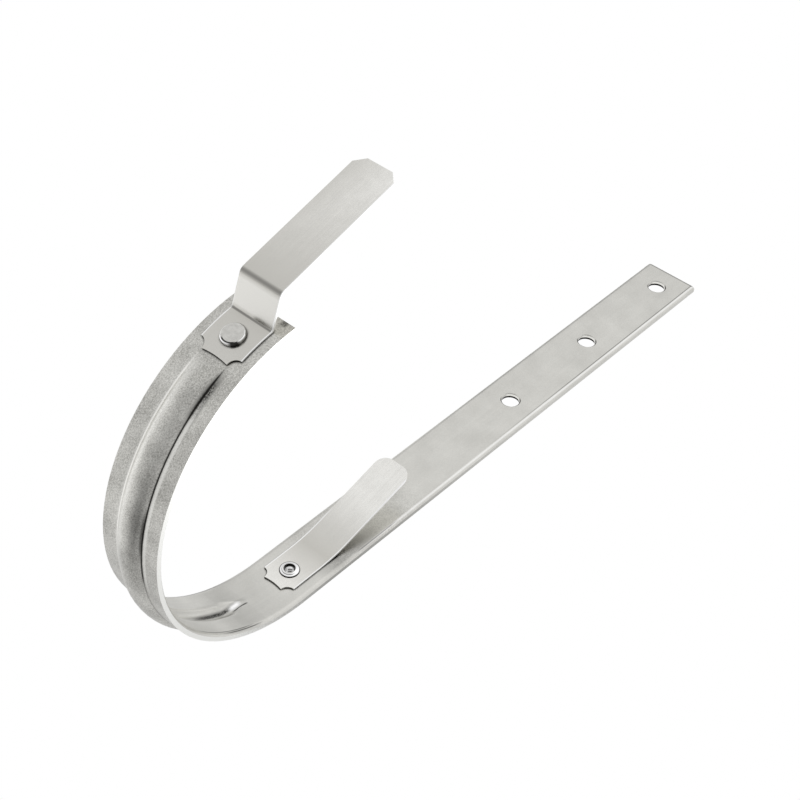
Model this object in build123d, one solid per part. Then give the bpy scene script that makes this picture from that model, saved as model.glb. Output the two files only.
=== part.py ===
from build123d import *
from build123d.topology import SkipClean
import os
from math import atan, cos, degrees, pi, radians, sin, sqrt

# Half-round gutter bracket: a steel strip bent to a hook with a straight arm, and two riveted sheet straps.
# The bracket lies on the back of its arm. X runs along the arm away from the hook, Y across the strip, Z up.
# The origin is at the middle fixing hole, on the face of the arm that is screwed against the roof.

# Strip, mm and degrees
STRIP_WIDTH = 30.0
STRIP_THICKNESS = 3.0
STRIP_ROLL_WIDTH = 2.0
STRIP_ROLL_DEPTH = 1.0
ARM_LENGTH = 299.0
HOOK_RADIUS = 77.0
HOOK_SWEEP = 174.6
SEAT_MARGIN = 6.0

# Fixing holes in the arm
FIXING_COUNT = 3
FIXING_PITCH = 62.5
FIXING_RADIUS = 4.5
FIXING_RIM_CUT = 0.4
FIXING_END_MARGIN = 14.0

# Pressed rib: bead on the hook's outer face, groove on its inner face
RIB_RISE = 3.2
BEAD_WIDTH = 14.0
BEAD_FOOT_WIDTH = 0.6
GROOVE_WIDTH = 10.4
GROOVE_LIP_WIDTH = 1.7
GROOVE_TIP_WIDTH = 1.6
RIB_RUN_OUT = 14.0
RIB_FRONT_GAP = 2.2
RIB_REAR_GAP = 17.0
RIB_RUN_OUT_STEPS = 4

# Straps, riveted through their scooped ends
STRAP_THICKNESS = 0.8
STRAP_RIVET_INSET = 10.5
STRAP_SCOOP_RADIUS = 4.0
STRAP_END_HOLLOW = 0.55

FRONT_STRAP_WIDTH = 21.0
FRONT_RIVET_INSET = 16.8
FRONT_TAB_LENGTH = 19.2
FRONT_FOLD_RADIUS = 1.2
FRONT_JOG_ANGLE = 54.5
FRONT_JOG_LENGTH = 13.4
FRONT_BEND_RADIUS = 2.6
FRONT_FREE_LENGTH = 64.0
FRONT_CORNER_CUT = 4.2

REAR_STRAP_WIDTH = 18.0
REAR_STRAP_OVERLAP = 5.0
REAR_FLAT_LENGTH = 14.5
REAR_LIFT_RADIUS = 65.0
REAR_LIFT_ANGLE = 17.0
REAR_FREE_LENGTH = 44.0
REAR_CORNER_RADIUS = 6.0

# Rivets: flat head, shank that fills its holes, hollow tail rolled over
RIVET_SHANK_RADIUS = 2.9
RIVET_HEAD_RADIUS = 5.0
RIVET_HEAD_HEIGHT = 1.5
RIVET_HEAD_CUT = 0.35
RIVET_TAIL_RADIUS = 4.5
RIVET_TAIL_EDGE = 0.35
RIVET_LIP_RADIUS = 3.4
RIVET_LIP_STEP = 0.25
RIVET_TAIL_HEIGHT = 1.1
RIVET_MOUTH_RADIUS = 2.6
RIVET_MOUTH_DEPTH = 0.5
RIVET_BORE_RADIUS = 2.2
RIVET_BORE_DEPTH = 4.0

# Places worked out from the sizes above
BEND_START_X = -(ARM_LENGTH - FIXING_END_MARGIN - FIXING_PITCH * (FIXING_COUNT - 1) / 2)
HOOK_CENTRE = Vector(BEND_START_X, 0, STRIP_THICKNESS + HOOK_RADIUS)
HOOK_AXIS = Axis(HOOK_CENTRE, (0, 1, 0))
HOOK_OUTER_RADIUS = HOOK_RADIUS + STRIP_THICKNESS
FRONT_RIVET_ANGLE = HOOK_SWEEP - degrees(FRONT_RIVET_INSET / HOOK_OUTER_RADIUS)
FRONT_STRAP_START = FRONT_RIVET_ANGLE - degrees(STRAP_RIVET_INSET / HOOK_OUTER_RADIUS)
REAR_STRAP_START = degrees(REAR_STRAP_OVERLAP / HOOK_RADIUS)
REAR_RIVET_X = BEND_START_X + STRAP_RIVET_INSET - REAR_STRAP_OVERLAP
RIB_START = REAR_STRAP_START + degrees(RIB_REAR_GAP / HOOK_RADIUS)
RIB_END = FRONT_STRAP_START - degrees(RIB_FRONT_GAP / HOOK_OUTER_RADIUS)
RIB_RUN_OUT_ANGLE = degrees(RIB_RUN_OUT / HOOK_OUTER_RADIUS)
RIVET_GRIP = STRIP_THICKNESS + STRAP_THICKNESS
SEAT_START_X = REAR_RIVET_X + RIVET_HEAD_RADIUS + SEAT_MARGIN
CUTTER_LENGTH = 4 * RIVET_GRIP


def hook_plane(angle, radius):
    """Plane across the strip at an angle round the hook from the arm.

    Its x runs across the strip, its y outwards and its z along the hook.
    """
    turn = radians(angle)
    outwards = Vector(-sin(turn), 0, -cos(turn))
    return Plane(HOOK_CENTRE + outwards * radius, x_dir=(0, 1, 0), z_dir=(-cos(turn), 0, sin(turn)))


def hook_outward_plane(angle, radius):
    """Plane that touches the hook at an angle round it: x across the strip, z outwards."""
    station = hook_plane(angle, radius)
    return Plane(station.origin, x_dir=station.x_dir, z_dir=station.y_dir)


def hook_inward_plane(angle, radius):
    """Plane that touches the hook at an angle round it: x across the strip, z towards the hook's axis."""
    station = hook_plane(angle, radius)
    return Plane(station.origin, x_dir=station.x_dir, z_dir=-station.y_dir)


def rib_curve(width, rise, foot_width, base):
    """Rounded crown between two hollow feet, from left to right, or a straight line where it has no rise."""
    half = width / 2
    share = 1 - foot_width / half
    if rise == 0:
        stops = [(-half, base), (-half * share, base), (half * share, base), (half, base)]
        return [Line(a, b) for a, b in zip(stops, stops[1:])]
    slope = 2 * atan(rise / half)
    crown = share * half / sin(slope)
    foot = foot_width / sin(slope)
    lean = degrees(slope)
    return [
        CenterArc((-half, base + foot), foot, 270, lean),
        CenterArc((0, base + rise - crown), crown, 90 + lean, -2 * lean),
        CenterArc((half, base + foot), foot, 270 - lean, lean),
    ]


def strip_section(rise=0.0):
    """Cross-section of the strip, with the rib pressed through it to the given rise.

    Its edges are rolled over towards the inner face and square at the outer face, as slitting leaves them.
    """
    side = STRIP_WIDTH / 2
    top = STRIP_THICKNESS
    flat = side - STRIP_ROLL_WIDTH
    groove_width = max(GROOVE_WIDTH * sqrt(rise / RIB_RISE), GROOVE_TIP_WIDTH)
    groove = rib_curve(groove_width, rise, GROOVE_LIP_WIDTH * groove_width / GROOVE_WIDTH, 0)
    bead = rib_curve(BEAD_WIDTH, rise, BEAD_FOOT_WIDTH, top)
    outline = groove + bead
    for way in (-1, 1):
        outline += [
            Line((way * groove_width / 2, 0), (way * flat, 0)),
            TangentArc((way * flat, 0), (way * side, STRIP_ROLL_DEPTH), tangent=(way, 0)),
            Line((way * side, STRIP_ROLL_DEPTH), (way * side, top)),
            Line((way * side, top), (way * BEAD_WIDTH / 2, top)),
        ]
    return make_face(outline)


def rib_run_out(end, full):
    """Stretch of the hook where the rib rises smoothly from nothing at one angle to its full height."""
    sections = []
    for step in range(RIB_RUN_OUT_STEPS + 1):
        along = step / RIB_RUN_OUT_STEPS
        rise = RIB_RISE * (1 - cos(pi * along)) / 2
        sections.append(hook_plane(end + (full - end) * along, HOOK_RADIUS) * strip_section(rise))
    return loft(sections)


def hook_stretch(start, end, rise=0.0):
    """Stretch of the hook of constant section."""
    return revolve(hook_plane(start, HOOK_RADIUS) * strip_section(rise), HOOK_AXIS, end - start)


def arm_stretch(start, end):
    """Stretch of the straight arm between two places along X."""
    station = Plane((start, 0, STRIP_THICKNESS), x_dir=(0, 1, 0), z_dir=(-1, 0, 0))
    return extrude(station * strip_section(), start - end)


def build_seat():
    """Stretch of the arm that is screwed down, with its fixing holes, whose rims are chamfered."""
    seat = arm_stretch(SEAT_START_X, BEND_START_X + ARM_LENGTH)
    for number in range(FIXING_COUNT):
        place = (number - (FIXING_COUNT - 1) / 2) * FIXING_PITCH
        seat -= Pos(place, 0, 0) * Cylinder(FIXING_RADIUS, CUTTER_LENGTH)
    return chamfer(seat.edges().filter_by(lambda edge: edge.is_closed), FIXING_RIM_CUT)


def build_strip():
    """Strip with its arm, hook, pressed rib and rivet holes.

    The seams between its stretches stay, so that the seat is a face of its own, clear of the rear rivet's head.
    """
    full_start = RIB_START + RIB_RUN_OUT_ANGLE
    full_end = RIB_END - RIB_RUN_OUT_ANGLE
    with SkipClean():
        strip = build_seat()
        strip += arm_stretch(BEND_START_X, SEAT_START_X)
        strip += hook_stretch(0, RIB_START)
        strip += rib_run_out(RIB_START, full_start)
        strip += hook_stretch(full_start, full_end, RIB_RISE)
        strip += rib_run_out(RIB_END, full_end)
        strip += hook_stretch(RIB_END, HOOK_SWEEP)
        return strip - rear_rivet_hole() - front_rivet_hole()


def rear_rivet_hole():
    """Hole for the rear rivet's shank."""
    return Pos(REAR_RIVET_X, 0, 0) * Cylinder(RIVET_SHANK_RADIUS, CUTTER_LENGTH)


def front_rivet_hole():
    """Hole for the front rivet's shank."""
    place = hook_outward_plane(FRONT_RIVET_ANGLE, HOOK_OUTER_RADIUS)
    return place * Cylinder(RIVET_SHANK_RADIUS, CUTTER_LENGTH)


def bent_sheet(start, heading, runs):
    """Side view of a bent sheet whose right face begins at start, and the middle of its far end.

    Each run is a size and a turn: a bend by its inside radius, or a straight length where the turn is 0.
    """
    right, left = [], []
    at = Vector(*start)
    for size, turn in runs:
        forward = Vector(cos(radians(heading)), sin(radians(heading)))
        across = Vector(-forward.Y, forward.X)
        if turn == 0:
            other = at + across * STRAP_THICKNESS
            right.append(Line(at, at + forward * size))
            left.append(Line(other, other + forward * size))
        else:
            way = 1 if turn > 0 else -1
            right_radius = size + STRAP_THICKNESS if turn > 0 else size
            left_radius = right_radius - way * STRAP_THICKNESS
            centre = at + across * way * right_radius
            right.append(CenterArc(centre, right_radius, heading - 90 * way, turn))
            left.append(CenterArc(centre, left_radius, heading - 90 * way, turn))
            heading += turn
        at = right[-1] @ 1
    near_end = Line(right[0] @ 0, left[0] @ 0)
    far_end = Line(right[-1] @ 1, left[-1] @ 1)
    return make_face(right + left + [near_end, far_end]), far_end @ 0.5


def scooped_end(plane, width):
    """Cutter for a strap's riveted end: a scoop out of each corner and a slightly hollow edge between."""
    half_edge = width / 2 - STRAP_SCOOP_RADIUS
    hollow_radius = (half_edge**2 + STRAP_END_HOLLOW**2) / (2 * STRAP_END_HOLLOW)
    cutter = Pos(0, hollow_radius - STRAP_END_HOLLOW, 0) * Cylinder(hollow_radius, CUTTER_LENGTH)
    for way in (-1, 1):
        cutter += Pos(way * width / 2, 0, 0) * Cylinder(STRAP_SCOOP_RADIUS, CUTTER_LENGTH)
    return plane * cutter


def end_corners(strap, end):
    """Edges through the sheet at the two corners of a strap's free end."""
    cap = strap.faces().sort_by_distance(Vector(end.X, 0, end.Y))[0]
    return cap.edges().filter_by(Axis.Y, reverse=True)


def build_front_strap():
    """Strap on the outer face near the hook's tip, stepped outwards past the tip."""
    start = hook_plane(FRONT_STRAP_START, HOOK_OUTER_RADIUS).origin
    start_heading = 180 - FRONT_STRAP_START
    free_heading = 180 - FRONT_RIVET_ANGLE
    tab_turn = degrees(FRONT_TAB_LENGTH / HOOK_OUTER_RADIUS)
    runs = [
        (HOOK_OUTER_RADIUS, -tab_turn),
        (FRONT_FOLD_RADIUS, free_heading + FRONT_JOG_ANGLE - start_heading + tab_turn),
        (FRONT_JOG_LENGTH, 0),
        (FRONT_BEND_RADIUS, -FRONT_JOG_ANGLE),
        (FRONT_FREE_LENGTH, 0),
    ]
    side, end = bent_sheet((start.X, start.Z), start_heading, runs)
    strap = extrude(Plane.XZ * side, FRONT_STRAP_WIDTH / 2, both=True)
    strap = chamfer(end_corners(strap, end), FRONT_CORNER_CUT)
    strap -= scooped_end(hook_outward_plane(FRONT_STRAP_START, HOOK_OUTER_RADIUS), FRONT_STRAP_WIDTH)
    return strap - front_rivet_hole()


def build_rear_strap():
    """Strap on the inner face where the arm begins, that lifts off the arm towards its free end."""
    start = hook_plane(REAR_STRAP_START, HOOK_RADIUS).origin
    runs = [
        (HOOK_RADIUS - STRAP_THICKNESS, REAR_STRAP_START),
        (REAR_FLAT_LENGTH, 0),
        (REAR_LIFT_RADIUS, REAR_LIFT_ANGLE),
        (REAR_FREE_LENGTH, 0),
    ]
    side, end = bent_sheet((start.X, start.Z), -REAR_STRAP_START, runs)
    strap = extrude(Plane.XZ * side, REAR_STRAP_WIDTH / 2, both=True)
    strap = fillet(end_corners(strap, end), REAR_CORNER_RADIUS)
    strap -= scooped_end(hook_inward_plane(REAR_STRAP_START, HOOK_RADIUS), REAR_STRAP_WIDTH)
    return strap - rear_rivet_hole()


def build_rivet():
    """Set rivet about Z, with its head below the origin and its rolled tail above the grip."""
    tail = RIVET_GRIP + RIVET_TAIL_HEIGHT
    bore_end = tail - RIVET_BORE_DEPTH
    outline = Polyline(
        (0, -RIVET_HEAD_HEIGHT),
        (RIVET_HEAD_RADIUS - RIVET_HEAD_CUT, -RIVET_HEAD_HEIGHT),
        (RIVET_HEAD_RADIUS, RIVET_HEAD_CUT - RIVET_HEAD_HEIGHT),
        (RIVET_HEAD_RADIUS, 0),
        (RIVET_SHANK_RADIUS, 0),
        (RIVET_SHANK_RADIUS, RIVET_GRIP),
        (RIVET_TAIL_RADIUS, RIVET_GRIP),
        (RIVET_TAIL_RADIUS, RIVET_GRIP + RIVET_TAIL_EDGE),
        (RIVET_LIP_RADIUS, tail - 2 * RIVET_LIP_STEP),
        (RIVET_LIP_RADIUS, tail - RIVET_LIP_STEP),
        (RIVET_MOUTH_RADIUS, tail),
        (RIVET_BORE_RADIUS, tail - RIVET_MOUTH_DEPTH),
        (RIVET_BORE_RADIUS, bore_end),
        (0, bore_end),
        close=True,
    )
    return revolve(Plane.XZ * make_face(outline), Axis.Z)


def build_rear_rivet():
    """Rear rivet, with its head under the arm."""
    return Pos(REAR_RIVET_X, 0, 0) * build_rivet()


def build_front_rivet(strip):
    """Front rivet, with its head on the strap and its tail pressed to the hook's hollow inner face."""
    seat = hook_inward_plane(FRONT_RIVET_ANGLE, HOOK_OUTER_RADIUS + STRAP_THICKNESS)
    return seat * build_rivet() - strip


os.makedirs("parts", exist_ok=True)
bracket_strip = build_strip()
nodes = {
    "bracket_strip": bracket_strip,
    "front_strap": build_front_strap(),
    "rear_strap": build_rear_strap(),
    "front_rivet": build_front_rivet(bracket_strip),
    "rear_rivet": build_rear_rivet(),
}
for name, solid in nodes.items():
    export_step(solid, f"parts/{name}.step")
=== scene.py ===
import logging
from dataclasses import dataclass
from enum import Enum
from math import cos, pi, radians, sin

import bmesh
import bpy
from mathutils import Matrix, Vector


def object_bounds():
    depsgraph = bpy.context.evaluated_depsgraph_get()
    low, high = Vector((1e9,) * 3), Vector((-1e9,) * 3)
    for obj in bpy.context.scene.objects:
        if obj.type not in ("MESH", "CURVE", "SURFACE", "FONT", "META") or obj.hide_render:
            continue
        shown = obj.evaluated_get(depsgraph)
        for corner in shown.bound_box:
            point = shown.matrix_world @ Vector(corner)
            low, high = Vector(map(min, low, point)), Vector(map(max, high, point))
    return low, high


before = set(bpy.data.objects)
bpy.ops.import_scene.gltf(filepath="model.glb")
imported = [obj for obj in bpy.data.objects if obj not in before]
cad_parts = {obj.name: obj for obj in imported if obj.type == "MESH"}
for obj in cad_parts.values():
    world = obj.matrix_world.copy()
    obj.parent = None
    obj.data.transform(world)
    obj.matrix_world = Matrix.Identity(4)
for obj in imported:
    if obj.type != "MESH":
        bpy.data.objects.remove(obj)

log = logging.getLogger("gutter_bracket")

CAD_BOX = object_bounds()
MM = 0.001

Socket = bpy.types.NodeSocket
Value = float | tuple | Socket

# Which output of a Mix node carries vectors, and which carries colours.
VECTOR = 1
COLOUR = 2

# Settings of the noises: streaks on a place that is already stretched, broad clouds, rough sand, fine grain.
STREAK_NOISE = {"Scale": 1.0, "Detail": 3.0, "Roughness": 0.6}
CLOUD_NOISE = {"Detail": 4.0}
SAND_NOISE = {"Detail": 3.0, "Roughness": 0.7}
GRAIN_NOISE = {"Detail": 2.0}
CREVICE_SAMPLES = 8

# Degrees round the hook, from the arm to the front rivet.
FRONT_RIVET_TURN = 162.57

# Colours of the marks: painted shade for rims, the strip (also its scuff) and bends; pale zinc, also a
# highlight; a highlight.
RIM_PAINTED_SHADE = "#141311"
STRIP_SHADE_AND_SCUFF = "#262523"
BEND_PAINTED_SHADE = "#3A3936"
PALE_ZINC_AND_HIGHLIGHT = "#FFFEFA"
PAINTED_HIGHLIGHT = "#FFFFFF"


def linear(code: str) -> tuple[float, float, float, float]:
    """Turns an sRGB hex colour into linear light.

    Args:
        code: colour such as "#C8C7C3".

    Returns:
        Red, green, blue and alpha, from 0 to 1.
    """
    shares = [int(code[at:at + 2], 16) / 255 for at in (1, 3, 5)]
    bent = [s / 12.92 if s <= 0.04045 else ((s + 0.055) / 1.055) ** 2.4 for s in shares]
    return (*bent, 1.0)


class Sum(Enum):
    """Arithmetic on numbers that the patterns use."""

    TAKE = "SUBTRACT"
    TIMES = "MULTIPLY"
    TIMES_ADD = "MULTIPLY_ADD"
    BELOW = "LESS_THAN"
    MOST = "MAXIMUM"
    SIZE = "ABSOLUTE"
    ANGLE = "ARCTAN2"
    DEGREES = "DEGREES"
    SINE = "SINE"
    WRAP = "WRAP"
    GROW = "EXPONENT"


class VectorSum(Enum):
    """Arithmetic on places and directions that the patterns use."""

    TAKE = "SUBTRACT"
    TIMES = "MULTIPLY"
    DOT = "DOT_PRODUCT"
    UNIT = "NORMALIZE"
    LENGTH = "LENGTH"


class Face(Enum):
    """Faces of the strip."""

    OUTER = "outer"
    INNER = "inner"


@dataclass(frozen=True)
class Ramp:
    """Two values of a measure between which a share goes from 0 to 1."""

    start: float
    end: float

    def ends(self) -> dict[str, float]:
        """Returns the two values as inputs of a Map Range node."""
        return {"From Min": self.start, "From Max": self.end}


@dataclass(frozen=True)
class Span:
    """Stretch of a measure: its middle, half of its width, and the width over which each side fades."""

    middle: float
    half: float
    soft: float

    def in_metres(self) -> "Span":
        """Returns a stretch given in millimetres as metres."""
        return Span(self.middle * MM, self.half * MM, self.soft * MM)


# The whole way round an axis, which has to fade within half a turn to either side.
FULL_TURN = Span(0, 179, 1)


@dataclass(frozen=True)
class Glow:
    """Broad soft patch of light round a direction, or of darkness where its strength is negative."""

    azimuth: float
    elevation: float
    tightness: float
    strength: float

    def towards(self) -> tuple[float, float, float]:
        """Returns the unit vector to the patch's middle."""
        around, up = radians(self.azimuth), radians(self.elevation)
        return cos(around) * cos(up), sin(around) * cos(up), sin(up)


@dataclass
class AxisSpot:
    """Where a point lies round an axis: the way to it, its distance from the axis, and its height."""

    way: Socket
    reach: Socket
    height: Socket


@dataclass
class Graph:
    """Node tree of one material or room, with the one function that adds to it."""

    tree: bpy.types.NodeTree

    def __post_init__(self) -> None:
        """Empties the tree."""
        self.tree.nodes.clear()

    def add(
        self, kind: str, inputs: dict[int | str, Value], output: int | str = 0, **settings: object
    ) -> Socket | None:
        """Adds a node, sets its properties, and fills or links its inputs.

        Args:
            kind: node type after "ShaderNode", such as "TexNoise".
            inputs: constant or source socket by input name or number.
            output: name or number of the socket to hand back.
            settings: properties of the node itself.

        Returns:
            That output of the new node, or nothing if it has no outputs.
        """
        node = self.tree.nodes.new("ShaderNode" + kind)
        for name, value in settings.items():
            setattr(node, name, value.value if isinstance(value, Enum) else value)
        for key, value in inputs.items():
            if isinstance(value, Socket):
                self.tree.links.new(value, node.inputs[key])
            else:
                node.inputs[key].default_value = value
        return node.outputs[output] if node.outputs else None

    def band(self, value: Socket, span: Span) -> Socket:
        """Masks a stretch of a measure.

        Args:
            value: what is measured.
            span: the stretch, in the measure's own unit.

        Returns:
            1 in the stretch, 0 outside it.
        """
        off = self.add("Math", {0: value, 1: span.middle}, operation=Sum.TAKE)
        away = self.add("Math", {0: off}, operation=Sum.SIZE)
        return self.add("MapRange", {"Value": away, **Ramp(span.half + span.soft, span.half).ends()})

    def stain(self, colour: Value, tone: Value, *masks: Socket, strength: float = 1.0) -> Socket:
        """Lays a tone over a colour where all masks meet.

        Args:
            colour: colour underneath.
            tone: colour laid over it.
            masks: shares that are multiplied together.
            strength: share of the tone where every mask is 1.

        Returns:
            The stained colour.
        """
        share = strength
        for mask in masks:
            share = self.add("Math", {0: mask, 1: share}, operation=Sum.TIMES)
        return self.add("Mix", {"Factor": share, "A": colour, "B": tone}, COLOUR, data_type="RGBA")

    def round_axis(self, place: Socket) -> AxisSpot:
        """Measures where a point lies round the upright axis through the origin.

        Args:
            place: the point.

        Returns:
            The way to it, its distance from the axis, and its height.
        """
        flat = self.add("VectorMath", {0: place, 1: (1.0, 1.0, 0.0)}, operation=VectorSum.TIMES)
        return AxisSpot(
            way=self.add("VectorMath", {0: flat}, operation=VectorSum.UNIT),
            reach=self.add("VectorMath", {0: flat}, "Value", operation=VectorSum.LENGTH),
            height=self.add("SeparateXYZ", {0: place}, "Z"),
        )

    def crevices(self, reach: float, openness: Ramp) -> Socket:
        """Finds the corners that little light gets into.

        Args:
            reach: distance within which other surfaces count.
            openness: how open a clean place is, and how open a dark one.

        Returns:
            0 on open faces, 1 deep in a corner.
        """
        opened = self.add("AmbientOcclusion", {"Distance": reach}, "AO", samples=CREVICE_SAMPLES)
        return self.add("MapRange", {"Value": opened, **openness.ends()})

    def light_up(self, way: Socket, base: float, glows: tuple[Glow, ...]) -> Socket:
        """Adds soft patches to an even brightness.

        Args:
            way: direction that is looked in.
            base: even brightness.
            glows: patches round their directions.

        Returns:
            Brightness in that direction.
        """
        total = base
        for glow in glows:
            near = self.add("VectorMath", {0: way, 1: glow.towards()}, "Value", operation=VectorSum.DOT)
            fall = self.add("Math", {0: near, 1: glow.tightness, 2: -glow.tightness}, operation=Sum.TIMES_ADD)
            shape = self.add("Math", {0: fall}, operation=Sum.GROW)
            total = self.add("Math", {0: shape, 1: glow.strength, 2: total}, operation=Sum.TIMES_ADD)
        return self.add("Math", {0: total, 1: 0.0}, operation=Sum.MOST)


@dataclass(frozen=True)
class RimMark:
    """Arc round a rivet's or hole's axis, by its radius and heights in mm and its directions in degrees."""

    ring: Span
    turn: Span
    strength: float
    tone: str = RIM_PAINTED_SHADE
    low: float = -20.0
    high: float = 20.0
    height_fade: float = 0.3

    def put(self, graph: Graph, spot: AxisSpot, colour: Socket) -> Socket:
        """Draws the arc.

        Args:
            graph: the material's nodes.
            spot: where the point lies.
            colour: colour under the arc.

        Returns:
            Colour with the arc on it.
        """
        middle = radians(self.turn.middle)
        towards = (cos(middle), sin(middle), 0.0)
        near = graph.add("VectorMath", {0: spot.way, 1: towards}, "Value", operation=VectorSum.DOT)
        fade = Ramp(cos(radians(self.turn.half + self.turn.soft)), cos(radians(self.turn.half)))
        arc = graph.add("MapRange", {"Value": near, **fade.ends()})
        ring = graph.band(spot.reach, self.ring.in_metres())
        heights = Span((self.low + self.high) / 2, (self.high - self.low) / 2, self.height_fade)
        layer = graph.band(spot.height, heights.in_metres())
        return graph.stain(colour, linear(self.tone), ring, arc, layer, strength=self.strength)


# Painted shade on the lips of the fixing holes on the inner face, and painted shade low on their far walls.
HOLE_RIMS = (
    RimMark(Span(4.75, 0.2, 0.15), Span(165, 25, 30), 0.9, low=2.3),
    RimMark(Span(4.75, 0.2, 0.15), Span(280, 25, 30), 0.9, low=2.3),
    RimMark(Span(4.6, 0.3, 0.1), Span(35, 60, 25), 1.0, high=1.3),
)

# Arcs of painted highlight and painted shade on the edge of the front rivet's head.
FRONT_RIMS = (
    RimMark(Span(4.85, 0.2, 0.15), Span(150, 70, 20), 1.0, PAINTED_HIGHLIGHT),
    RimMark(Span(4.3, 0.2, 0.2), Span(190, 34, 14), 0.95),
    RimMark(Span(4.8, 0.35, 0.2), Span(230, 14, 16), 0.95),
    RimMark(Span(4.6, 0.1, 0.15), Span(285, 30, 12), 1.0, PAINTED_HIGHLIGHT),
    RimMark(Span(5.0, 0.08, 0.12), Span(330, 60, 15), 0.5),
)

# Painted highlights on the hollow and lip of the rear rivet's rolled tail, painted shade round them and in
# the hollow.
REAR_RIMS = (
    RimMark(Span(1.1, 1.2, 0.1), FULL_TURN, 1.0, PAINTED_HIGHLIGHT),
    RimMark(Span(3.6, 0.7, 0.1), FULL_TURN, 1.0, PAINTED_HIGHLIGHT),
    RimMark(Span(3.4, 0.06, 0.12), Span(150, 90, 30), 0.6),
    RimMark(Span(4.5, 0.08, 0.12), FULL_TURN, 0.7),
    RimMark(Span(4.5, 0.2, 0.15), Span(225, 45, 20), 0.95),
    RimMark(Span(4.4, 0.1, 0.15), Span(45, 110, 30), 0.85),
    RimMark(Span(2.3, 0.4, 0.1), Span(40, 60, 35), 1.0, low=3.6),
    RimMark(Span(2.3, 0.4, 0.1), Span(38, 20, 14), 0.9, low=1.4, high=1.8),
)


@dataclass
class StripSpot:
    """Where a point of the strip lies: along and across it, round the hook, and on which face."""

    along: Socket
    across: Socket
    turn: Socket
    faces: dict[Face, Socket]
    slit: Socket


@dataclass(frozen=True)
class StripMark:
    """Mark of painted shade, painted highlight or scuff on one face of the strip, placed across it in mm and
    round the hook in degrees.
    """

    face: Face
    across: Span
    turn: Span
    strength: float
    tone: str = STRIP_SHADE_AND_SCUFF
    speckled: bool = False
    specks: Ramp = Ramp(0.40, 0.52)

    def put(self, graph: Graph, spot: StripSpot, grain: Socket, colour: Socket) -> Socket:
        """Draws the mark.

        Args:
            graph: the strip's material.
            spot: where the point lies.
            grain: sand that breaks up a speckled mark.
            colour: colour under the mark.

        Returns:
            Colour with the mark on it.
        """
        masks = [
            graph.band(spot.across, self.across.in_metres()),
            graph.band(spot.turn, self.turn),
            spot.faces[self.face],
        ]
        if self.speckled:
            masks.append(graph.add("MapRange", {"Value": grain, **self.specks.ends()}))
        return graph.stain(colour, linear(self.tone), *masks, strength=self.strength)


# Outside of the hook: painted shade along the bead's near foot, with a speckled smear of painted shade, then
# painted highlights beside that crease, on the bead and along its far foot, and a scuff by the tip.
BEAD_MARKS = (
    StripMark(Face.OUTER, Span(-6.7, 0.15, 0.3), Span(119, 32, 4), 0.95),
    StripMark(Face.OUTER, Span(-6.7, 0.05, 0.3), Span(70, 18, 8), 0.45),
    StripMark(Face.OUTER, Span(-6.8, 0.2, 0.6), Span(145.5, 4, 4), 0.8),
    StripMark(Face.OUTER, Span(-7.5, 0.8, 1.4), Span(144, 4, 5), 0.95, speckled=True),
    StripMark(Face.OUTER, Span(-6.4, 0.3, 0.5), Span(102, 4, 5), 0.7),
    StripMark(Face.OUTER, Span(-8.0, 0.4, 0.6), Span(112, 26, 8), 0.6, PALE_ZINC_AND_HIGHLIGHT),
    StripMark(Face.OUTER, Span(4.8, 1.0, 3.0), Span(110, 38, 6), 0.35, PALE_ZINC_AND_HIGHLIGHT),
    StripMark(Face.OUTER, Span(6.9, 0.2, 0.4), Span(110, 38, 6), 0.8, PALE_ZINC_AND_HIGHLIGHT),
    StripMark(Face.OUTER, Span(-10.5, 0.8, 1.2), Span(174, 0.8, 0.8), 0.8, speckled=True),
)

# Inside of the hook: the groove's painted shade band, partly speckled, the painted highlight at its end and
# painted shade beside that.
GROOVE_MARKS = (
    StripMark(Face.INNER, Span(1.2, 0.5, 0.9), Span(29.5, 5.5, 10), 0.55),
    StripMark(Face.INNER, Span(0.9, 0.5, 0.6), Span(28.5, 4.5, 6), 0.9, speckled=True),
    StripMark(Face.INNER, Span(0.5, 0.4, 1.2), Span(20.4, 1.0, 1.8), 0.95, PAINTED_HIGHLIGHT),
    StripMark(Face.INNER, Span(-1.4, 0.15, 0.3), Span(19.3, 2.4, 1.0), 0.9),
)

# Thin lines of painted shade along the rolled edges, first on the hook and then on the arm, with a painted
# highlight on the arm's near edge, painted shadow beside the rear strap and the painted shade of the arm's
# cut end.
EDGE_MARKS = (
    StripMark(Face.INNER, Span(-13.1, 0.1, 0.25), Span(37, 10, 5), 0.7),
    StripMark(Face.INNER, Span(-13.9, 0.1, 0.25), Span(28, 5, 5), 0.75),
    StripMark(Face.INNER, Span(14.3, 0.2, 0.5), Span(38, 16, 10), 0.6),
    StripMark(Face.INNER, Span(-12.9, 0.1, 0.3), Span(-72, 3, 10), 0.6),
    StripMark(Face.INNER, Span(-13.7, 0.2, 0.5), Span(-55, 20, 15), 0.45, PAINTED_HIGHLIGHT),
    StripMark(Face.INNER, Span(-13.6, 0.1, 0.25), Span(-31, 5, 3), 0.6),
    StripMark(Face.INNER, Span(-10.5, 2.5, 1.5), Span(-21, 4, 8), 0.4, speckled=True),
    StripMark(Face.INNER, Span(14.3, 0.3, 0.6), Span(-70, 6, 10), 0.35),
    StripMark(Face.INNER, Span(0.0, 15.0, 0.5), Span(-75.56, 0.02, 0.03), 0.55),
)


@dataclass(frozen=True)
class Finish:
    """Finish of one piece, made as one metal material."""

    name: str

    def look(self, graph: Graph) -> dict[str, Value]:
        """Returns the shader's inputs, which each finish works out in its own way."""
        raise NotImplementedError

    def make(self) -> bpy.types.Material:
        """Builds the material.

        Returns:
            Metal with the finish's own look.
        """
        material = bpy.data.materials.new(self.name)
        material.use_nodes = True
        graph = Graph(material.node_tree)
        shader = graph.add("BsdfPrincipled", {"Metallic": 1.0, **self.look(graph)})
        graph.add("OutputMaterial", {"Surface": shader})
        return material


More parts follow.
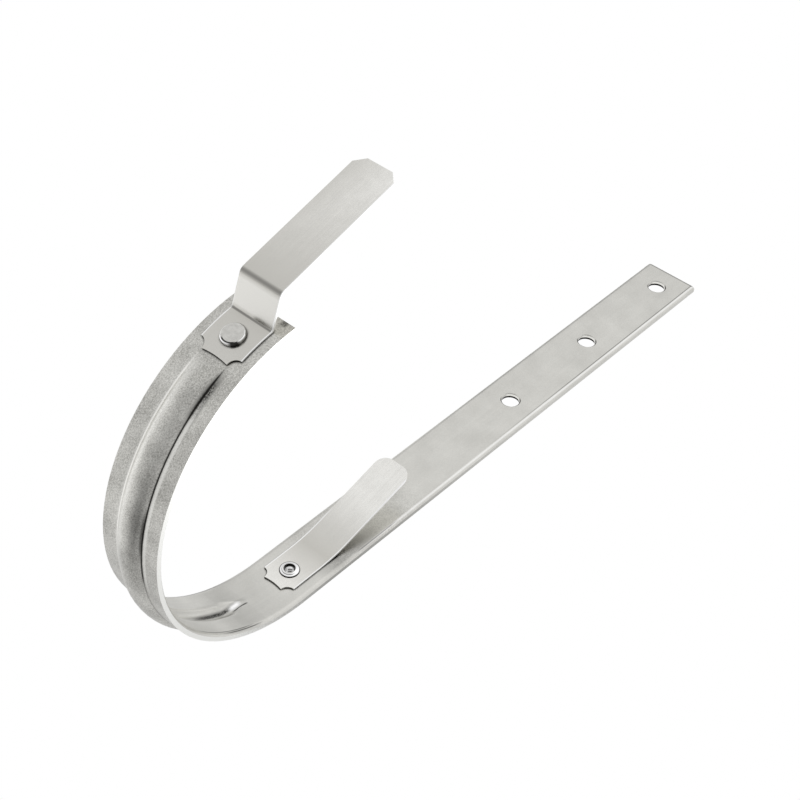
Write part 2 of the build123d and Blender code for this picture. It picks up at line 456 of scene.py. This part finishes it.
@dataclass(frozen=True)
class HotDipZinc(Finish):
    """Hot-dip galvanised steel: satin grey zinc, sandy on its outer face, with painted shade and painted
    highlights.
    """

    name: str = "hot_dip_galvanised_steel"
    light: str = "#DCDBD6"
    dark: str = "#D0CFCA"
    sand_light: str = "#ECEBE6"
    sand_dark: str = "#9E9D98"
    slit_arm: str = "#B2B1AD"
    # Painted highlight on the slit edges round the hook.
    slit_hook_highlight: str = "#FFFFFC"
    # Painted shade in corners, such as where the straps sit on the strip.
    crevice_shade: str = "#1C1B19"
    roughness: float = 0.30
    sand_roughness: float = 0.34
    streak_width: float = 2.2 * MM
    streak_length: float = 60 * MM
    cloud: float = 12 * MM
    cloud_share: float = 0.6
    smooth_ramp: Ramp = Ramp(0.3, 0.7)
    # Real zinc sand is about 0.3 mm, too fine to show, so it is drawn nearly twice as coarse.
    sand: float = 0.55 * MM
    sand_share: float = 0.7
    sand_ramp: Ramp = Ramp(0.35, 0.65)
    sand_depth: float = 0.06 * MM
    smooth_bump: float = 0.15
    sand_bump: float = 0.6
    inner_sand: float = 0.15
    rubbed: Span = Span(-48 * MM, 22 * MM, 22 * MM)
    rubbed_share: float = 0.55
    crevice_reach: float = 1.6 * MM
    crevice_ramp: Ramp = Ramp(0.85, 0.55)
    # How far a surface faces into the hook, or across the strip for its slit edges.
    outer_ramp: Ramp = Ramp(0.1, -0.3)
    inner_ramp: Ramp = Ramp(-0.1, 0.3)
    slit_ramp: Ramp = Ramp(0.85, 0.95)
    # Degrees round the hook, over which the slit edge brightens into a painted highlight and its specks fade
    # out.
    slit_bend: Ramp = Ramp(-10.0, 30.0)
    speck_bend: Ramp = Ramp(40.0, 10.0)
    speck_ramp: Ramp = Ramp(0.45, 0.6)
    speck_share: float = 0.6
    hook_x: float = -222.5 * MM
    hook_z: float = 80.0 * MM
    hook_radius: float = 78.5 * MM
    marks: tuple[StripMark, ...] = BEAD_MARKS + GROOVE_MARKS + EDGE_MARKS
    hole_pitch: float = 62.5 * MM
    hole_row: Span = Span(0.0, 75 * MM, MM)
    hole_rims: tuple[RimMark, ...] = HOLE_RIMS

    def find(self, graph: Graph, place: Socket) -> StripSpot:
        """Measures where a point lies on the strip.

        Args:
            graph: the material's nodes.
            place: the point.

        Returns:
            Its place along, across and round the strip, and its face.
        """
        add = graph.add
        normal = add("TexCoord", {}, "Normal")
        past_bend = add("Math", {0: self.hook_x, 1: add("SeparateXYZ", {0: place}, "X")}, operation=Sum.TAKE)
        below_axis = add("Math", {0: self.hook_z, 1: add("SeparateXYZ", {0: place}, "Z")}, operation=Sum.TAKE)
        turn = add("Math", {0: past_bend, 1: below_axis}, operation=Sum.ANGLE)
        round_hook = add("Math", {0: turn, 1: self.hook_radius}, operation=Sum.TIMES)
        on_arm = add("Math", {0: past_bend, 1: 0.0}, operation=Sum.BELOW)
        across_hook = add("CombineXYZ", {"X": past_bend, "Z": below_axis})
        inwards = add("VectorMath", {0: across_hook}, operation=VectorSum.UNIT)
        up = (0.0, 0.0, 1.0)
        up_or_in = add("Mix", {"Factor": on_arm, "A": inwards, "B": up}, VECTOR, data_type="VECTOR")
        facing = add("VectorMath", {0: normal, 1: up_or_in}, "Value", operation=VectorSum.DOT)
        sideways = add("Math", {0: add("SeparateXYZ", {0: normal}, "Y")}, operation=Sum.SIZE)
        return StripSpot(
            along=add("Mix", {"Factor": on_arm, "A": round_hook, "B": past_bend}),
            across=add("SeparateXYZ", {0: place}, "Y"),
            turn=add("Math", {0: turn}, operation=Sum.DEGREES),
            faces={
                Face.OUTER: add("MapRange", {"Value": facing, **self.outer_ramp.ends()}),
                Face.INNER: add("MapRange", {"Value": facing, **self.inner_ramp.ends()}),
            },
            slit=add("MapRange", {"Value": sideways, **self.slit_ramp.ends()}),
        )

    def find_hole(self, graph: Graph, place: Socket) -> AxisSpot:
        """Measures where a point lies round the nearest fixing hole.

        Args:
            graph: the material's nodes.
            place: the point.

        Returns:
            Its place round that hole, or far from it past the row's ends.
        """
        add = graph.add
        x = add("SeparateXYZ", {0: place}, "X")
        y = add("SeparateXYZ", {0: place}, "Y")
        z = add("SeparateXYZ", {0: place}, "Z")
        half = self.hole_pitch / 2
        near_x = add("Math", {0: x, 1: half, 2: -half}, operation=Sum.WRAP)
        in_row = graph.band(x, self.hole_row)
        row_x = add("Mix", {"Factor": in_row, "A": x, "B": near_x})
        return graph.round_axis(add("CombineXYZ", {"X": row_x, "Y": y, "Z": z}))

    def find_sand(self, graph: Graph, spot: StripSpot) -> Socket:
        """Finds how sandy the zinc is.

        Args:
            graph: the material's nodes.
            spot: where the point lies.

        Returns:
            1 on the outer face, less where the inner face was rubbed, and little elsewhere.
        """
        rubbed = graph.band(spot.along, self.rubbed)
        rough = graph.add("Math", {0: rubbed, 1: self.rubbed_share}, operation=Sum.TIMES)
        rough = graph.add("Math", {0: rough, 1: self.inner_sand}, operation=Sum.MOST)
        return graph.add("Math", {0: spot.faces[Face.OUTER], 1: rough}, operation=Sum.MOST)

    def smooth_colour(self, graph: Graph, spot: StripSpot, clouds: Socket) -> Socket:
        """Mixes the colour of the satin zinc.

        Args:
            graph: the material's nodes.
            spot: where the point lies.
            clouds: broad pattern.

        Returns:
            Grey with faint clouds, and streaks that follow the strip round the hook.
        """
        add = graph.add
        strip_place = add("CombineXYZ", {"X": spot.along, "Y": spot.across})
        scale = (1 / self.streak_length, 1 / self.streak_width, 1.0)
        stretched = add("Mapping", {"Vector": strip_place, "Scale": scale})
        streaks = add("TexNoise", {"Vector": stretched, **STREAK_NOISE})
        both = add("Mix", {"Factor": self.cloud_share, "A": streaks, "B": clouds})
        share = add("MapRange", {"Value": both, **self.smooth_ramp.ends()})
        return graph.stain(linear(self.dark), linear(self.light), share)

    def sand_colour(self, graph: Graph, clouds: Socket, grain: Socket) -> Socket:
        """Mixes the colour of the sandy zinc.

        Args:
            graph: the material's nodes.
            clouds: broad pattern.
            grain: sand.

        Returns:
            Pale and dark grains in broad clouds.
        """
        both = graph.add("Mix", {"Factor": self.sand_share, "A": clouds, "B": grain})
        share = graph.add("MapRange", {"Value": both, **self.sand_ramp.ends()})
        return graph.stain(linear(self.sand_dark), linear(self.sand_light), share)

    def slit_colour(self, graph: Graph, spot: StripSpot, grain: Socket) -> Socket:
        """Mixes the colour of the strip's slit edges.

        Args:
            graph: the material's nodes.
            spot: where the point lies.
            grain: sand.

        Returns:
            Grey along the arm and a painted highlight round the hook, with dark specks where the bend starts.
        """
        add = graph.add
        round_bend = add("MapRange", {"Value": spot.turn, **self.slit_bend.ends()})
        colour = graph.stain(linear(self.slit_arm), linear(self.slit_hook_highlight), round_bend)
        specks = add("MapRange", {"Value": grain, **self.speck_ramp.ends()})
        low_hook = add("MapRange", {"Value": spot.turn, **self.speck_bend.ends()})
        return graph.stain(colour, linear(self.sand_dark), specks, low_hook, strength=self.speck_share)

    def look(self, graph: Graph) -> dict[str, Value]:
        """Draws the zinc, its painted shade, painted highlights and scuff, and painted shade on the rims of
        the holes.

        Args:
            graph: the material's nodes.

        Returns:
            Colour, roughness and bumps.
        """
        add = graph.add
        place = add("TexCoord", {}, "Object")
        spot = self.find(graph, place)
        clouds = add("TexNoise", {"Vector": place, "Scale": 1 / self.cloud, **CLOUD_NOISE})
        grain = add("TexNoise", {"Vector": place, "Scale": 1 / self.sand, **SAND_NOISE})
        sandy = self.find_sand(graph, spot)
        smooth = self.smooth_colour(graph, spot, clouds)
        colour = graph.stain(smooth, self.sand_colour(graph, clouds, grain), sandy)
        colour = graph.stain(colour, self.slit_colour(graph, spot, grain), spot.slit)
        # Painted shade, painted highlights and a scuff along the strip.
        for mark in self.marks:
            colour = mark.put(graph, spot, grain, colour)
        # Painted shade on the rims of the fixing holes.
        hole = self.find_hole(graph, place)
        for rim in self.hole_rims:
            colour = rim.put(graph, hole, colour)
        # Painted shade in corners, such as where the straps sit on the strip.
        painted_shade = graph.crevices(self.crevice_reach, self.crevice_ramp)
        gloss = add("MapRange", {"Value": sandy, "To Min": self.roughness, "To Max": self.sand_roughness})
        roughened = add("MapRange", {"Value": sandy, "To Min": self.smooth_bump, "To Max": self.sand_bump})
        bump = add("Bump", {"Strength": roughened, "Distance": self.sand_depth, "Height": grain})
        return {
            "Base Color": graph.stain(colour, linear(self.crevice_shade), painted_shade),
            "Roughness": gloss,
            "Normal": bump,
        }


@dataclass(frozen=True)
class BendLine:
    """Line across a strap where its sheet was bent, by its place in the strap's side view in mm."""

    x: float
    z: float
    half_width: float
    soft_width: float
    strength: float
    tone: str = BEND_PAINTED_SHADE

    def put(self, graph: Graph, place: Socket, colour: Socket) -> Socket:
        """Draws the line.

        Args:
            graph: the strap's material.
            place: point on the strap.
            colour: colour under the line.

        Returns:
            Colour with the line on it.
        """
        add = graph.add
        line_place = (self.x * MM, 0.0, self.z * MM)
        off = add("VectorMath", {0: place, 1: line_place}, operation=VectorSum.TAKE)
        side_view = add("VectorMath", {0: off, 1: (1.0, 0.0, 1.0)}, operation=VectorSum.TIMES)
        away = add("VectorMath", {0: side_view}, "Value", operation=VectorSum.LENGTH)
        line = graph.band(away, Span(0.0, self.half_width, self.soft_width).in_metres())
        return graph.stain(colour, linear(self.tone), line, strength=self.strength)


# Painted highlight on the slope of the front strap's step, and lines of painted shade at the two bends that
# make it.
FRONT_BENDS = (
    BendLine(-235.2, 166.4, 5.0, 2.0, 0.5, PALE_ZINC_AND_HIGHLIGHT),
    BendLine(-232.3, 174.2, 0.3, 1.1, 0.55),
    BendLine(-237.6, 159.5, 0.2, 0.5, 0.6),
)


@dataclass(frozen=True)
class ZincSheet(Finish):
    """Galvanised sheet steel: thin and cold-rolled, paler and smoother than the strip, brushed lengthwise."""

    half_width: float
    tab_x: float
    # Painted shade, darker round a stretch along the strap and, by the lean, towards its +Y side.
    shaded: Span
    lean: float
    dark: str
    bends: tuple[BendLine, ...] = ()
    light: str = PALE_ZINC_AND_HIGHLIGHT
    # Colour of the painted shade.
    shade_tone: str = "#CBC9C3"
    # Painted highlight along the long edges.
    edge: str = PAINTED_HIGHLIGHT
    # Painted shade in corners, laid on the cut ends only.
    crevice_shade: str = "#23221F"
    roughness: float = 0.25
    # Rolling lines are about 0.2 mm apart, too fine to show, so they are drawn four times as coarse.
    brush_width: float = 0.8 * MM
    brush_length: float = 40 * MM
    brush_depth: float = 0.01 * MM
    brush_bump: float = 0.4
    cloud: float = 5 * MM
    cloud_share: float = 0.45
    grain: float = 0.7 * MM
    grain_share: float = 0.35
    smooth_ramp: Ramp = Ramp(0.3, 0.7)
    edge_width: float = 0.3 * MM
    tab_fade: float = 5.0 * MM
    crevice_reach: float = 1.6 * MM
    crevice_ramp: Ramp = Ramp(0.8, 0.55)
    # How little a surface faces across the strap, so that painted shade stays off its long sides.
    cut_end: Ramp = Ramp(0.95, 0.85)

    def find_edge_highlight(self, graph: Graph, x: Socket, y: Socket) -> Socket:
        """Finds the long edges that get a painted highlight.

        Args:
            graph: the material's nodes.
            x: place along the arm.
            y: place across the strap.

        Returns:
            1 along the near edge, and along the far edge by the riveted tab.
        """
        near_edge = graph.band(y, Span(-self.half_width, self.edge_width, self.edge_width))
        far_edge = graph.band(y, Span(self.half_width, self.edge_width, self.edge_width))
        tab = Ramp(self.tab_x + self.tab_fade, self.tab_x)
        by_tab = graph.add("MapRange", {"Value": x, **tab.ends()})
        far_highlight = graph.add("Math", {0: far_edge, 1: by_tab}, operation=Sum.TIMES)
        return graph.add("Math", {0: near_edge, 1: far_highlight}, operation=Sum.MOST)

    def look(self, graph: Graph) -> dict[str, Value]:
        """Draws pale brushed zinc, with painted shade towards the rivet and on cut ends, and painted
        highlights on edges.

        Args:
            graph: the material's nodes.

        Returns:
            Colour, roughness and bumps.
        """
        add = graph.add
        place = add("TexCoord", {}, "Object")
        x = add("SeparateXYZ", {0: place}, "X")
        y = add("SeparateXYZ", {0: place}, "Y")
        scale = (1 / self.brush_length, 1 / self.brush_width, 1 / self.brush_length)
        stretched = add("Mapping", {"Vector": place, "Scale": scale})
        brush = add("TexNoise", {"Vector": stretched, **STREAK_NOISE})
        clouds = add("TexNoise", {"Vector": place, "Scale": 1 / self.cloud, **CLOUD_NOISE})
        grain = add("TexNoise", {"Vector": place, "Scale": 1 / self.grain, **GRAIN_NOISE})
        mixed = add("Mix", {"Factor": self.cloud_share, "A": brush, "B": clouds})
        mixed = add("Mix", {"Factor": self.grain_share, "A": mixed, "B": grain})
        share = add("MapRange", {"Value": mixed, **self.smooth_ramp.ends()})
        colour = graph.stain(linear(self.dark), linear(self.light), share)
        # Painted shade towards the rivet, and towards the +Y side.
        width = Ramp(-self.half_width, self.half_width)
        leaning = add("MapRange", {"Value": y, **width.ends(), "To Max": self.lean})
        shaded = add("Math", {0: graph.band(x, self.shaded), 1: leaning}, operation=Sum.MOST)
        colour = graph.stain(colour, linear(self.shade_tone), shaded)
        # Painted highlight on the step's slope and painted shade at its bends.
        for bend in self.bends:
            colour = bend.put(graph, place, colour)
        # Painted highlight along the long edges.
        colour = graph.stain(colour, linear(self.edge), self.find_edge_highlight(graph, x, y))
        sideways = add("SeparateXYZ", {0: add("TexCoord", {}, "Normal")}, "Y")
        long_side = add("Math", {0: sideways}, operation=Sum.SIZE)
        cut_end = add("MapRange", {"Value": long_side, **self.cut_end.ends()})
        # Painted shade in corners, kept to the cut ends.
        painted_shade = graph.crevices(self.crevice_reach, self.crevice_ramp)
        bump = add("Bump", {"Strength": self.brush_bump, "Distance": self.brush_depth, "Height": brush})
        return {
            "Base Color": graph.stain(colour, linear(self.crevice_shade), painted_shade, cut_end),
            "Roughness": self.roughness,
            "Normal": bump,
        }


@dataclass(frozen=True)
class PlatedRivet(Finish):
    """Zinc-plated steel: bright satin plating, with faint rings where the setting tool turned on it."""

    centre: tuple[float, float, float]
    tilt: float
    marks: tuple[RimMark, ...]
    light: str = "#DCDBD7"
    dark: str = "#C9C8C4"
    # Painted shade in corners.
    crevice_shade: str = "#23221F"
    roughness: float = 0.22
    ring: float = 0.9 * MM
    ring_depth: float = 0.02 * MM
    ring_bump: float = 0.3
    cloud: float = 1.5 * MM
    smooth_ramp: Ramp = Ramp(0.3, 0.7)
    crevice_reach: float = 0.5 * MM
    crevice_ramp: Ramp = Ramp(0.6, 0.3)

    def look(self, graph: Graph) -> dict[str, Value]:
        """Draws plating with rings, and rim marks of painted highlight and painted shade, round the rivet's
        own axis.

        Args:
            graph: the material's nodes.

        Returns:
            Colour, roughness and bumps.
        """
        add = graph.add
        place = add("TexCoord", {}, "Object")
        moved = add("VectorMath", {0: place, 1: self.centre}, operation=VectorSum.TAKE)
        level = add("VectorRotate", {"Vector": moved, "Angle": self.tilt}, rotation_type="Y_AXIS")
        spot = graph.round_axis(level)
        phase = add("Math", {0: spot.reach, 1: 2 * pi / self.ring}, operation=Sum.TIMES)
        rings = add("Math", {0: phase}, operation=Sum.SINE)
        clouds = add("TexNoise", {"Vector": place, "Scale": 1 / self.cloud, **CLOUD_NOISE})
        share = add("MapRange", {"Value": clouds, **self.smooth_ramp.ends()})
        colour = graph.stain(linear(self.dark), linear(self.light), share)
        # Arcs of painted highlight and painted shade.
        for mark in self.marks:
            colour = mark.put(graph, spot, colour)
        # Painted shade in corners.
        painted_shade = graph.crevices(self.crevice_reach, self.crevice_ramp)
        bump = add("Bump", {"Strength": self.ring_bump, "Distance": self.ring_depth, "Height": rings})
        return {
            "Base Color": graph.stain(colour, linear(self.crevice_shade), painted_shade),
            "Roughness": self.roughness,
            "Normal": bump,
        }


@dataclass
class Piece:
    """One piece of the bracket that keeps its solid's shape and gets a finish."""

    node: str
    finish: Finish

    def dress(self) -> bpy.types.Object:
        """Puts the finish on the piece's own material slot.

        Returns:
            The dressed piece.
        """
        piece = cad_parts[self.node]
        piece.material_slots[0].material = self.finish.make()
        return piece


@dataclass
class Studio:
    """White floor, soft light and camera."""

    floor_radius: float = 8.0
    floor_sides: int = 64
    floor_middle: tuple[float, float, float] = (-0.26, 0.0, 0.0)
    floor_under: float = 0.72
    floor_base: float = 1.15
    floor_fade: Ramp = Ramp(0.06, 0.22)
    floor_glows: tuple[Glow, ...] = (Glow(-165, 0, 4.0, -0.97), Glow(-60, 0, 5.0, 0.65))
    room_base: float = 0.52
    room_glows: tuple[Glow, ...] = (
        Glow(2, 56, 4.9, 0.55),
        Glow(109, 16, 4.0, 0.46),
        Glow(-55, 24, 6.7, 0.35),
    )
    white: str = "#FFFFFF"
    camera_place: tuple[float, float, float] = (-0.55265, -0.32734, 0.54361)
    camera_turn: tuple[float, float, float] = (47.0076, -2.8783, -48.3079)
    camera_lens: float = 73.071
    camera_near: float = 0.01

    def build_floor(self) -> bpy.types.Object:
        """Builds the round floor under the bracket.

        Returns:
            The floor, marked as stage.
        """
        mesh = bpy.data.meshes.new("floor")
        bm = bmesh.new()
        bmesh.ops.create_circle(bm, cap_ends=True, segments=self.floor_sides, radius=self.floor_radius)
        bmesh.ops.translate(bm, vec=(0.0, 0.0, CAD_BOX[0].z), verts=bm.verts)
        bm.to_mesh(mesh)
        bm.free()
        floor = bpy.data.objects.new("floor", mesh)
        bpy.context.scene.collection.objects.link(floor)
        floor.data.materials.append(self.floor_finish())
        return floor

    def floor_finish(self) -> bpy.types.Material:
        """Builds the floor's white paper, lit so brightly that it shows no shadow.

        Returns:
            A plain white, which lights the bracket less from right under it and from one side.
        """
        material = bpy.data.materials.new("white_paper")
        material.use_nodes = True
        graph = Graph(material.node_tree)
        add = graph.add
        place = add("TexCoord", {}, "Object")
        moved = add("VectorMath", {0: place, 1: self.floor_middle}, operation=VectorSum.TAKE)
        spot = graph.round_axis(moved)
        fade = self.floor_fade.ends()
        away = add("MapRange", {"Value": spot.reach, **fade}, interpolation_type="SMOOTHSTEP")
        around = graph.light_up(spot.way, self.floor_base, self.floor_glows)
        thrown = add("Mix", {"Factor": away, "A": self.floor_under, "B": around})
        seen = add("LightPath", {}, "Is Camera Ray")
        glow = add("Mix", {"Factor": seen, "A": thrown, "B": 1.0})
        shader = add("Emission", {"Color": linear(self.white), "Strength": glow})
        add("OutputMaterial", {"Surface": shader})
        return material

    def build_light(self) -> None:
        """Lights the room evenly, with soft patches for the lamps, behind a plain white."""
        world = bpy.data.worlds.new("white_room")
        world.use_nodes = True
        graph = Graph(world.node_tree)
        way = graph.add("TexCoord", {}, "Generated")
        thrown = graph.light_up(way, self.room_base, self.room_glows)
        seen = graph.add("LightPath", {}, "Is Camera Ray")
        glow = graph.add("Mix", {"Factor": seen, "A": thrown, "B": 1.0})
        shader = graph.add("Background", {"Color": linear(self.white), "Strength": glow})
        graph.add("OutputWorld", {"Surface": shader})
        bpy.context.scene.world = world

    def build_camera(self) -> bpy.types.Object:
        """Builds the camera at the photo's place.

        Returns:
            The scene's camera.
        """
        data = bpy.data.cameras.new("camera")
        data.lens = self.camera_lens
        data.clip_start = self.camera_near
        camera = bpy.data.objects.new("camera", data)
        camera.location = self.camera_place
        camera.rotation_euler = [radians(a) for a in self.camera_turn]
        bpy.context.scene.collection.objects.link(camera)
        bpy.context.scene.camera = camera
        return camera


def main() -> None:
    """Dresses the bracket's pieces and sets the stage."""
    logging.basicConfig(level=logging.INFO)
    front_sheet = ZincSheet(
        name="galvanised_front_sheet",
        half_width=10.5 * MM,
        tab_x=-240.0 * MM,
        shaded=Span(-236.0, 0.0, 65.0).in_metres(),
        lean=0.6,
        dark="#E4E3DF",
        bends=FRONT_BENDS,
    )
    rear_sheet = ZincSheet(
        name="galvanised_rear_sheet",
        half_width=9.0 * MM,
        tab_x=-185.0 * MM,
        shaded=Span(-201.0, 0.0, 30.0).in_metres(),
        lean=0.0,
        dark="#EDECE8",
    )
    front_rivet = PlatedRivet(
        name="zinc_plated_front_rivet",
        centre=(-246.13 * MM, 0.0, 155.25 * MM),
        tilt=radians(180 - FRONT_RIVET_TURN),
        marks=FRONT_RIMS,
    )
    rear_rivet = PlatedRivet(
        name="zinc_plated_rear_rivet",
        centre=(-217.0 * MM, 0.0, 0.0),
        tilt=0.0,
        marks=REAR_RIMS,
    )
    pieces = [
        Piece("bracket_strip", HotDipZinc()),
        Piece("front_strap", front_sheet),
        Piece("rear_strap", rear_sheet),
        Piece("front_rivet", front_rivet),
        Piece("rear_rivet", rear_rivet),
    ]
    for piece in pieces:
        log.info("dressed %s", piece.dress().name)
    studio = Studio()
    studio.build_floor()
    studio.build_light()
    studio.build_camera()
    bpy.context.scene.view_settings.view_transform = "Standard"


if __name__ == "__main__":
    main()
